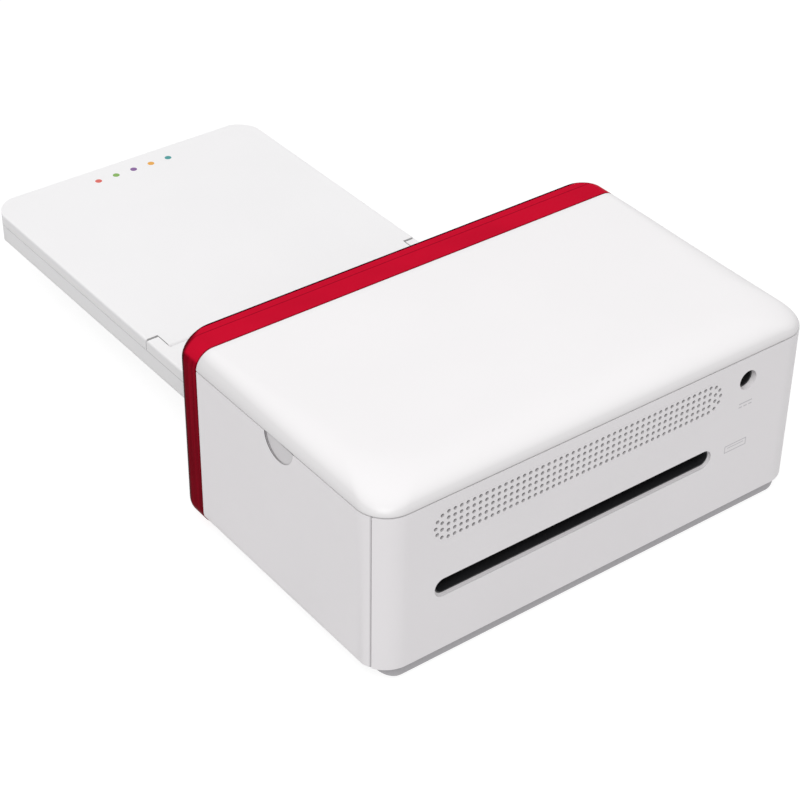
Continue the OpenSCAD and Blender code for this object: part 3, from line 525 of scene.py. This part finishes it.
def make_materials():
    return {
        # Painted shade on the lid: darker where it turns from the sky and along its lowest edge
        "lid": moulded("lid_white", LID_WHITE, 0.36, SMOOTH, turned_painted_tone=0.80, painted_shade_masks=lid_painted_shade),
        # The lip's dark grey is painted shade, so the seam above it looks dark
        "lip": moulded("lip_seam_shade", linear(110, 108, 109), 0.40, SMOOTH),
        "shell": moulded("shell_white", CASE_WHITE, 0.42, SATIN, painted_shade_masks=slot_painted_shade),
        "door": moulded("door_white", CASE_WHITE, 0.42, SATIN, painted_shade_masks=door_painted_shade),
        "vent": moulded("vent_white", CASE_WHITE, 0.42, SATIN, painted_shade_masks=vent_painted_shade),
        # Painted shade on the tray's upright sides, in its seam and in the hinge gaps
        "tray": moulded("tray_white", TRAY_WHITE, 0.40, SATIN, turned_painted_tone=0.87, painted_shade_masks=tray_painted_shade),
        "panel": moulded("panel_white", PANEL_WHITE, 0.36),
        "button": moulded("button_white", CASE_WHITE, 0.34),
        "red": acrylic(),
        "trim": moulded("dark_trim", DARK_RED, 0.3, (0.0006, 0.000002, 0.05),
                        Specular_IOR_Level=0.0),
        "base": moulded("base_grey", linear(182, 180, 183), 0.46, (0.0004, 0.000008, 0.015)),
        "rubber": moulded("rubber_black", linear(38, 38, 39), 0.72, (0.0005, 0.00002, 0.06)),
        "black": moulded("black_plastic", linear(32, 32, 34), 0.48, (0.0004, 0.00001, 0.06)),
        "cartridge": moulded("cartridge_plastic", linear(62, 63, 68), 0.40,
                             (0.0004, 0.000008, 0.04)),
        "spool": moulded("spool_plastic", linear(96, 98, 106), 0.38, (0.0004, 0.000006, 0.04)),
        "gear": moulded("acetal", linear(228, 224, 208), 0.34, (0.0005, 0.000003, 0.02)),
        "lens": moulded("light_guide", linear(222, 232, 240), 0.12, (0.001, 0.000001, 0.02),
                        Transmission_Weight=0.6),
        "chip": moulded("board_part", linear(44, 44, 47), 0.5, (0.0003, 0.00001, 0.08)),
        "steel": metal("zinc_steel", linear(190, 193, 198), 0.30, (1, 1, 1)),
        "shaft": metal("ground_steel", linear(205, 207, 211), 0.18, (20, 1, 1)),
        "can": metal("motor_can", linear(178, 180, 185), 0.26, (20, 1, 1)),
        "fins": metal("fin_aluminium", linear(200, 202, 206), 0.32, (0.05, 1, 1)),
        "contact": metal("contact_metal", linear(222, 214, 196), 0.12, (1, 20, 1)),
        "board": circuit(),
        "paper": paper(),
        "ribbon": ribbon("ribbon_amber", linear(226, 172, 24)),
        "used": ribbon("ribbon_used", linear(44, 42, 50)),
        "glaze": ceramic(),
    }


FINISH = {
    "lid": ["lid"],
    "button": ["power_button"],
    "shell": ["rear_shell"],
    "door": ["side_door"],
    "vent": ["vent_grille"],
    "tray": ["tray_base", "tray_neck", "tray_cover"],
    "panel": ["front_panel"],
    "red": ["red_bezel"],
    "trim": ["front_trim"],
    "base": ["base_plate"],
    "rubber": ["rubber_feet", "platen_roller", "pickup_roller"],
    "black": ["slot_guide", "dc_socket", "feed_deck", "exit_guide", "pickup_arm"],
    "cartridge": ["cartridge_shell"],
    "spool": ["takeup_spool", "supply_spool"],
    "gear": ["motor_pinion", "feed_gear", "takeup_gear", "supply_hub"],
    "lens": ["status_light"],
    "chip": ["board_chips"],
    "steel": ["chassis", "head_frame", "base_screws"],
    "shaft": ["door_hinge_rod", "feed_roller", "pinch_roller", "platen_shaft", "tray_pins"],
    "can": ["feed_motor"],
    "fins": ["heat_sink"],
    "contact": ["dc_contact"],
    "board": ["main_board", "switch_board"],
    "paper": ["paper_stack"],
    "ribbon": ["supply_roll", "ribbon_film"],
    "used": ["takeup_roll"],
    "glaze": ["thermal_head"],
}


# ---------- soft edges and smooth shading ----------

# Width of the rounded edges of the CAD parts that show
SOFT_EDGES = {
    "rear_shell": 0.00025, "side_door": 0.00025, "tray_base": 0.0003, "tray_neck": 0.0002,
    "tray_cover": 0.00025, "front_panel": 0.0003, "base_plate": 0.0003, "power_button": 0.0004,
}
SHARP_DEGREES = 36.0
WELD_REACH = 0.000002


def make_smooth_group():
    """Shades faces smooth and keeps edges sharp where they turn by more than the limit."""
    group = bpy.data.node_groups.new("smooth_by_angle", "GeometryNodeTree")
    for way in ("INPUT", "OUTPUT"):
        group.interface.new_socket("Geometry", in_out=way, socket_type="NodeSocketGeometry")
    nodes, links = group.nodes, group.links
    start = nodes.new("NodeGroupInput")
    end = nodes.new("NodeGroupOutput")
    clear = nodes.new("GeometryNodeRemoveAttribute")
    clear.inputs["Name"].default_value = "custom_normal"
    faces = nodes.new("GeometryNodeSetShadeSmooth")
    faces.domain = "FACE"
    edges = nodes.new("GeometryNodeSetShadeSmooth")
    edges.domain = "EDGE"
    edges.inputs["Shade Smooth"].default_value = False
    angle = nodes.new("GeometryNodeInputMeshEdgeAngle")
    turn = nodes.new("ShaderNodeMath")
    turn.operation = "GREATER_THAN"
    turn.inputs[1].default_value = math.radians(SHARP_DEGREES)
    links.new(angle.outputs["Unsigned Angle"], turn.inputs[0])
    links.new(start.outputs[0], clear.inputs["Geometry"])
    links.new(clear.outputs["Geometry"], faces.inputs["Geometry"])
    links.new(faces.outputs["Geometry"], edges.inputs["Geometry"])
    links.new(turn.outputs["Value"], edges.inputs["Selection"])
    links.new(edges.outputs["Geometry"], end.inputs[0])
    return group


SMOOTH_GROUP = make_smooth_group()


def add_bevel(piece, width):
    bevel = piece.modifiers.new("soft_edge", "BEVEL")
    bevel.width = width
    bevel.segments = 2
    bevel.limit_method = "ANGLE"
    bevel.angle_limit = math.radians(SHARP_DEGREES)
    bevel.use_clamp_overlap = True


def add_smooth(piece):
    smooth = piece.modifiers.new("smooth_faces", "NODES")
    smooth.node_group = SMOOTH_GROUP


def soften(piece, width):
    """Rounds the sharp edges by width and shades the rest smooth."""
    weld = piece.modifiers.new("weld", "WELD")
    weld.merge_threshold = WELD_REACH
    add_bevel(piece, width)
    add_smooth(piece)
    weigh = piece.modifiers.new("flat_first", "WEIGHTED_NORMAL")
    weigh.weight = 100
    weigh.keep_sharp = True


def dress(materials):
    """Gives every CAD part its material, and those that show their soft edges."""
    for key, names in FINISH.items():
        for name in names:
            data = NODES[name].data
            data.materials.clear()
            data.materials.append(materials[key])
    for name, width in SOFT_EDGES.items():
        soften(NODES[name], width)


# ---------- mesh pieces ----------

def new_piece(name, bm, material, body, smooth=True):
    bmesh.ops.recalc_face_normals(bm, faces=bm.faces)
    data = bpy.data.meshes.new(name)
    bm.to_mesh(data)
    bm.free()
    for face in data.polygons:
        face.use_smooth = smooth
    data.materials.append(material)
    piece = add_object(name, data)
    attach(piece, body)
    return piece


def strip(bm, a, b, closed=True):
    """Joins two rows of vertices by faces, all round or from end to end."""
    for i in range(len(a) if closed else len(a) - 1):
        j = (i + 1) % len(a)
        bm.faces.new((a[i], a[j], b[j], b[i]))


def mirrored(spot):
    return Vector((-spot.x, spot.y, 0))


# ---------- lid ----------

# The crown's section is a superellipse, of power 2 at the band and fuller at the rear.
# A run is how far in from the rim the crown meets the flat top.
REAR_RADIUS = 0.0105
SIDE_RADIUS = 0.0065
TOP_RADIUS = 0.020
REAR_RUN = 0.018
SIDE_RUN = 0.012
FULLER_REAR = 0.3
LID_WALL = 0.0022
LID_EDGE = 0.00018
SIDE_STEPS, ARC_STEPS, REAR_STEPS, CROWN_STEPS = 26, 18, 10, 18

LIP_INSET = 0.0031
LIP_THICK = 0.0014
LIP_START = 0.008
LIP_DROP = 0.0024
LIP_RISE = 0.0012
LIP_STEPS = 12


def ease(share):
    share = max(0.0, min(1.0, share))
    return share * share * (3 - 2 * share)


def crown_stations():
    """Half of the lid's rim, from the band to the middle of the rear edge.

    Each station holds the rim point, the point where the crown meets the flat top,
    and how far round towards the rear it lies, from 0 to 1."""
    stations = []
    rim_turn = Y_REAR - REAR_RADIUS
    top_y = Y_REAR - REAR_RUN
    top_turn = top_y - TOP_RADIUS
    rim_x = HALF_W - REAR_RADIUS
    top_x = HALF_W - SIDE_RUN - TOP_RADIUS
    for i in range(SIDE_STEPS):
        share = i / SIDE_STEPS
        run = SIDE_RADIUS + (SIDE_RUN - SIDE_RADIUS) * ease(share)
        rim = Vector((HALF_W, LID_FRONT + (rim_turn - LID_FRONT) * share, 0))
        top = Vector((HALF_W - run, LID_FRONT + (top_turn - LID_FRONT) * share, 0))
        stations.append((rim, top, 0.5 * ease(share)))
    for i in range(ARC_STEPS):
        turn = math.pi / 2 * i / ARC_STEPS
        aim = Vector((math.cos(turn), math.sin(turn), 0))
        rim = Vector((rim_x, rim_turn, 0)) + aim * REAR_RADIUS
        top = Vector((top_x, top_turn, 0)) + aim * TOP_RADIUS
        stations.append((rim, top, 0.5 + 0.5 * i / ARC_STEPS))
    for i in range(REAR_STEPS + 1):
        share = 1 - i / REAR_STEPS
        stations.append((Vector((rim_x * share, Y_REAR, 0)),
                         Vector((top_x * share, top_y, 0)), 1.0))
    return stations


def make_lid(material):
    """The lid's skin: a rounded rim that rises into a soft crown, widest at the rear."""
    half = crown_stations()
    stations = half + [(mirrored(rim), mirrored(top), rear) for rim, top, rear in half[-2::-1]]
    start = Z_TOP - SIDE_RADIUS
    first = math.asin((SEAM - start) / SIDE_RADIUS)
    bm = bmesh.new()
    rings = []
    for k in range(CROWN_STEPS + 1):
        lift = math.sin(first + (math.pi / 2 - first) * k / CROWN_STEPS)
        ring = []
        for rim, top, rear in stations:
            power = 2 + FULLER_REAR * rear
            inward = 1 - (1 - lift ** power) ** (1 / power) if lift < 1 else 1.0
            spot = rim.lerp(top, inward)
            spot.z = start + SIDE_RADIUS * lift
            ring.append(bm.verts.new(spot))
        rings.append(ring)
    for low, high in zip(rings, rings[1:]):
        strip(bm, low, high, closed=False)
    cap = rings[-1]
    turn = SIDE_STEPS + ARC_STEPS - 1
    for i in range(turn):
        bm.faces.new((cap[i], cap[i + 1], cap[-2 - i], cap[-1 - i]))
    bm.faces.new(cap[turn:len(cap) - turn])
    lid = new_piece("lid_skin", bm, material, "casing")
    wall = lid.modifiers.new("wall", "SOLIDIFY")
    wall.thickness = LID_WALL
    wall.offset = -1
    wall.use_even_offset = True
    add_bevel(lid, LID_EDGE)
    add_smooth(lid)
    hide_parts("lid")


def make_lip(material):
    """The locating lip under the lid's rim, dark grey as painted shade for the seam above it."""
    bm = bmesh.new()
    rows = []
    for inset in (LIP_INSET, LIP_INSET + LIP_THICK):
        radius = REAR_RADIUS - inset
        path = [Vector((HALF_W - inset, LID_FRONT + LIP_START, 0))]
        for i in range(LIP_STEPS + 1):
            turn = math.pi / 2 * i / LIP_STEPS
            path.append(Vector((HALF_W - inset - radius + radius * math.cos(turn),
                                Y_REAR - inset - radius + radius * math.sin(turn), 0)))
        path += [mirrored(spot) for spot in reversed(path)]
        for z in (SEAM - LIP_DROP, SEAM + LIP_RISE):
            rows.append([bm.verts.new((spot.x, spot.y, z)) for spot in path])
    loop = [rows[0], rows[1], rows[3], rows[2]]
    for a, b in zip(loop, loop[1:] + loop[:1]):
        strip(bm, a, b, closed=False)
    for end in (0, -1):
        bm.faces.new([row[end] for row in loop])
    new_piece("lid_lip", bm, material, "casing", smooth=False)


# ---------- front band ----------

FRONT_RADIUS = 0.0056
CORNER_TOP = 0.0065
CORNER_BASE = 0.0068
CORNER_GROWTH = 0.0022
SMALLEST_CORNER = 0.0008
CORNER_STEPS = 12
RIM_RADIUS = 0.0005
BAND_WALL = 0.003
BAND_EDGE = 0.0001
WINDOW_IN = 0.0075

# Where the rings lie, as shares of the depth: closer together where the curve is tighter
BAND_STATIONS = (0.0, 0.03, 0.07, 0.12, 0.18, 0.25, 0.32, 0.38, 0.43, 0.7, 1.0)
RIM_STATIONS = (1.0, 0.75, 0.55, 0.4, 0.28, 0.17, 0.08, 0.02, 0.0)


def rounded(inset, wall=0.0, growth=0.0):
    """Outline of the casing, moved in by inset at the sides and by wall all round."""
    spots = []
    half, low, high = HALF_W - inset - wall, TRIM_LOW.z + wall, Z_TOP - wall
    top = max(CORNER_TOP + growth - wall, SMALLEST_CORNER)
    base = max(CORNER_BASE + growth - wall, SMALLEST_CORNER)
    for x, z, radius, start in ((half - top, high - top, top, 0),
                                (top - half, high - top, top, 90),
                                (base - half, low + base, base, 180),
                                (half - base, low + base, base, 270)):
        for i in range(CORNER_STEPS + 1):
            turn = math.radians(start + 90 * i / CORNER_STEPS)
            spots.append((x + radius * math.cos(turn), z + radius * math.sin(turn)))
    return spots


def fillet(radius, depth):
    """How far a rounded edge lies in at this depth behind its front."""
    gone = max(0.0, radius - depth)
    return radius - math.sqrt(radius ** 2 - gone ** 2)


def band_ring(depth):
    """Outer outline at this depth: the front corners turn in, and their arcs grow."""
    inset = fillet(FRONT_RADIUS, depth)
    growth = CORNER_GROWTH * inset / FRONT_RADIUS
    return depth, rounded(inset, fillet(RIM_RADIUS, depth), growth)


def make_ring_piece(name, rings, material, replaced):
    bm = bmesh.new()
    rows = [[bm.verts.new((x, TRIM_LOW.y + depth, z)) for x, z in spots]
            for depth, spots in rings]
    for a, b in zip(rows, rows[1:] + rows[:1]):
        strip(bm, a, b)
    piece = new_piece(name, bm, material, "casing")
    soften(piece, BAND_EDGE)
    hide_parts(replaced)


def make_band(red, dark):
    """The red band with its flange, and the dark rim in front of it."""
    window = rounded(0.0, WINDOW_IN)
    inner = rounded(0.0, BAND_WALL)
    outer = [band_ring(TRIM_DEPTH + (BAND_DEPTH - TRIM_DEPTH) * share)
             for share in BAND_STATIONS]
    make_ring_piece("band_body", outer + [(BAND_DEPTH, inner), (FLANGE_DEPTH, inner),
                                          (FLANGE_DEPTH, window), (TRIM_DEPTH, window)],
                    red, "red_bezel")
    rim = [band_ring(TRIM_DEPTH * share) for share in RIM_STATIONS]
    make_ring_piece("band_rim", rim + [(0.0, window), (TRIM_DEPTH, window)],
                    dark, "front_trim")


# ---------- finger scoop ----------

# Depth of the floor's surface at its two ends, and its thickness
SCOOP_FRONT = 0.0005
SCOOP_REAR = 0.00015
SCOOP_FLOOR = 0.00004
SCOOP_PLAY = 0.00003
SCOOP_STEPS = 32


def make_scoop_floor(material):
    """Floor of the finger scoop: it lies deepest at the front and rises to the rear."""
    top = DOOR_HIGH.z - ROUND_OFF
    radius = SCOOP_RADIUS - SCOOP_PLAY
    start = math.asin(SCOOP_RISE / radius)
    spots = []
    for i in range(SCOOP_STEPS + 1):
        turn = start + (math.pi - 2 * start) * i / SCOOP_STEPS
        y, z = -radius * math.cos(turn), min(top, SCOOP_AT.z - radius * math.sin(turn))
        depth = SCOOP_REAR + (SCOOP_FRONT - SCOOP_REAR) * (radius - y) / (2 * radius)
        spots.append((HALF_W - depth, SCOOP_AT.y + y, z))
    bm = bmesh.new()
    outer, inner = [[bm.verts.new((x - sink, y, z)) for x, y, z in spots]
                    for sink in (0.0, SCOOP_FLOOR)]
    strip(bm, outer, inner)
    bm.faces.new(outer)
    bm.faces.new(list(reversed(inner)))
    new_piece("scoop_floor", bm, material, "door", smooth=False)


# ---------- prints ----------

# Colour dots on the tray cover, from one side to the other
DOT_COLOURS = [("teal", (38, 150, 150)), ("amber", (236, 168, 54)), ("plum", (128, 84, 150)),
               ("leaf", (126, 176, 74)), ("coral", (222, 96, 84))]
DOT_RADIUS = 0.0013
DOT_PITCH = 0.0076
DOT_SETBACK = 0.0085
DOT_BEVEL = 0.05
DOT_STEPS = 28
PRINT_THICK = 0.00002


def disc(bm, centre, radius, height):
    """A low disc with a bevelled rim, standing on the plane through centre."""
    turns = (2 * math.pi * i / DOT_STEPS for i in range(DOT_STEPS))
    base = [bm.verts.new(centre + Vector((radius * math.cos(a), radius * math.sin(a), 0)))
            for a in turns]
    top = [bm.verts.new(v.co.lerp(centre, DOT_BEVEL) + Vector((0, 0, height))) for v in base]
    strip(bm, base, top)
    bm.faces.new(top)
    bm.faces.new(list(reversed(base)))


def make_dots():
    middle = span(COVER_LOW.x, COVER_HIGH.x)[0]
    for i, (name, rgb) in enumerate(DOT_COLOURS):
        x = middle + (i - len(DOT_COLOURS) // 2) * DOT_PITCH
        bm = bmesh.new()
        disc(bm, Vector((x, COVER_LOW.y + DOT_SETBACK, COVER_HIGH.z)), DOT_RADIUS, PRINT_THICK)
        ink = moulded("ink_" + name, linear(*rgb), 0.35, PRINTED)
        new_piece("dot_" + name, bm, ink, "cover", smooth=False)


# The inlet's sign is a bar over three dashes, the slot's a sheet with a line in it
BAR_DROP, BAR_HALF, BAR_THICK = 0.0085, 0.0028, 0.0004
DASH_PITCH, DASH_HALF = 0.0021, 0.0007
DASH_LOW, DASH_HIGH = 0.0013, 0.0009
SHEET_LEFT, SHEET_RIGHT = -0.0602, -0.0508
SHEET_LOW, SHEET_HIGH = 0.0277, 0.0305
SHEET_LINE = 0.00035
INNER_INSET, INNER_LOW, INNER_HIGH = 0.0012, 0.0015, 0.0018

# Faces of a box by their corners: four on one side, then the four over them
BOX_FACES = ((0, 1, 2, 3), (7, 6, 5, 4), (0, 4, 5, 1), (1, 5, 6, 2), (2, 6, 7, 3), (3, 7, 4, 0))


def plate(bm, x0, x1, z0, z1):
    """A thin printed patch on the rear face."""
    corners = [bm.verts.new((x, y, z)) for y in (Y_REAR, Y_REAR + PRINT_THICK)
               for x, z in ((x0, z0), (x1, z0), (x1, z1), (x0, z1))]
    for face in BOX_FACES:
        bm.faces.new([corners[i] for i in face])


def make_marks():
    """Small generic signs: direct current by the inlet, a sheet beside the paper slot."""
    ink = moulded("ink_grey", linear(202, 200, 203), 0.5, PRINTED)
    x = span(SOCKET_LOW.x, SOCKET_HIGH.x)[0]
    z = span(SOCKET_LOW.z, SOCKET_HIGH.z)[0] - BAR_DROP
    bm = bmesh.new()
    plate(bm, x - BAR_HALF, x + BAR_HALF, z, z + BAR_THICK)
    for i in (-1, 0, 1):
        dash = x + i * DASH_PITCH
        plate(bm, dash - DASH_HALF, dash + DASH_HALF, z - DASH_LOW, z - DASH_HIGH)
    new_piece("inlet_mark", bm, ink, "casing", smooth=False)

    low, high = SHEET_LOW + SHEET_LINE, SHEET_HIGH - SHEET_LINE
    bm = bmesh.new()
    plate(bm, SHEET_LEFT, SHEET_RIGHT, SHEET_LOW, low)
    plate(bm, SHEET_LEFT, SHEET_RIGHT, high, SHEET_HIGH)
    plate(bm, SHEET_LEFT, SHEET_LEFT + SHEET_LINE, low, high)
    plate(bm, SHEET_RIGHT - SHEET_LINE, SHEET_RIGHT, low, high)
    plate(bm, SHEET_LEFT + INNER_INSET, SHEET_RIGHT - INNER_INSET,
          SHEET_LOW + INNER_LOW, SHEET_LOW + INNER_HIGH)
    new_piece("sheet_mark", bm, ink, "casing", smooth=False)


# ---------- stage ----------

WORLD_LEVEL = 0.61
WORLD_SEEN = 1.0
FLOOR_HALF = 3.0
FLOOR_SINK = 0.00005
FLOOR_GRAIN = 0.02
FLOOR_BOUNCE = (0.49, 0.51)
FLOOR_GLOW = 0.86
FLOOR_SHADE = 0.225
LAMP_AT = Vector((1.35, 1.35, 2.3))
LAMP_AIM = Vector((0, 0.02, 0.03))
LAMP_SIZE = 1.6
LAMP_WATTS = 42.0


def seen_directly(t):
    """1 for the rays of the camera and those mirrored or let through, else 0."""
    path = t.node("ShaderNodeLightPath")
    seen = t.math("MAXIMUM", path.outputs["Is Camera Ray"], path.outputs["Is Glossy Ray"])
    return t.math("MAXIMUM", seen, path.outputs["Is Transmission Ray"])


def make_floor():
    """A white floor that keeps the object's shadow and can't be seen from below."""
    t = material_tree("floor_white")
    low, high = FLOOR_BOUNCE
    bounce = t.diffuse(t.blend(t.spread(t.noise(FLOOR_GRAIN)), grey(low), grey(high)))
    glow = t.node("ShaderNodeEmission")
    glow.inputs["Strength"].default_value = FLOOR_GLOW
    shown = t.node("ShaderNodeAddShader")
    t.link(glow.outputs["Emission"], shown.inputs[0])
    t.link(t.diffuse(grey(FLOOR_SHADE)), shown.inputs[1])
    above = t.mix(seen_directly(t), bounce, shown.outputs["Shader"])
    surface = t.mix(t.node("ShaderNodeNewGeometry").outputs["Backfacing"], above,
                    t.node("ShaderNodeBsdfTransparent").outputs["BSDF"])
    t.link(surface, t.out.inputs["Surface"])
    s, z = FLOOR_HALF, -FLOOR_SINK
    data = bpy.data.meshes.new("floor")
    data.from_pydata([(-s, -s, z), (s, -s, z), (s, s, z), (-s, s, z)], [], [(0, 1, 2, 3)])
    data.materials.append(t.owner)
    add_object("floor", data)


def make_world():
    """A white sky, dimmer as a source of light than it looks."""
    world = bpy.data.worlds.new("studio")
    bpy.context.scene.world = world
    t = Tree(world, "ShaderNodeOutputWorld")
    sky = t.node("ShaderNodeBackground")
    t.put(sky.inputs["Color"], grey(1.0))
    t.put(sky.inputs["Strength"], t.spread(seen_directly(t), WORLD_LEVEL, WORLD_SEEN, (0.0, 1.0)))
    t.link(sky.outputs["Background"], t.out.inputs["Surface"])


def make_lamp():
    data = bpy.data.lights.new("key", "AREA")
    data.shape = "SQUARE"
    data.size = LAMP_SIZE
    data.energy = LAMP_WATTS
    lamp = add_object("key", data)
    lamp.location = LAMP_AT
    lamp.rotation_mode = "QUATERNION"
    lamp.rotation_quaternion = (LAMP_AIM - LAMP_AT).to_track_quat("-Z", "Y")


make_camera()
MATERIALS = make_materials()
dress(MATERIALS)
make_lid(MATERIALS["lid"])
make_lip(MATERIALS["lip"])
make_band(MATERIALS["red"], MATERIALS["trim"])
make_scoop_floor(MATERIALS["door"])
make_dots()
make_marks()
make_floor()
make_world()
make_lamp()
bpy.context.scene.view_settings.view_transform = "Standard"
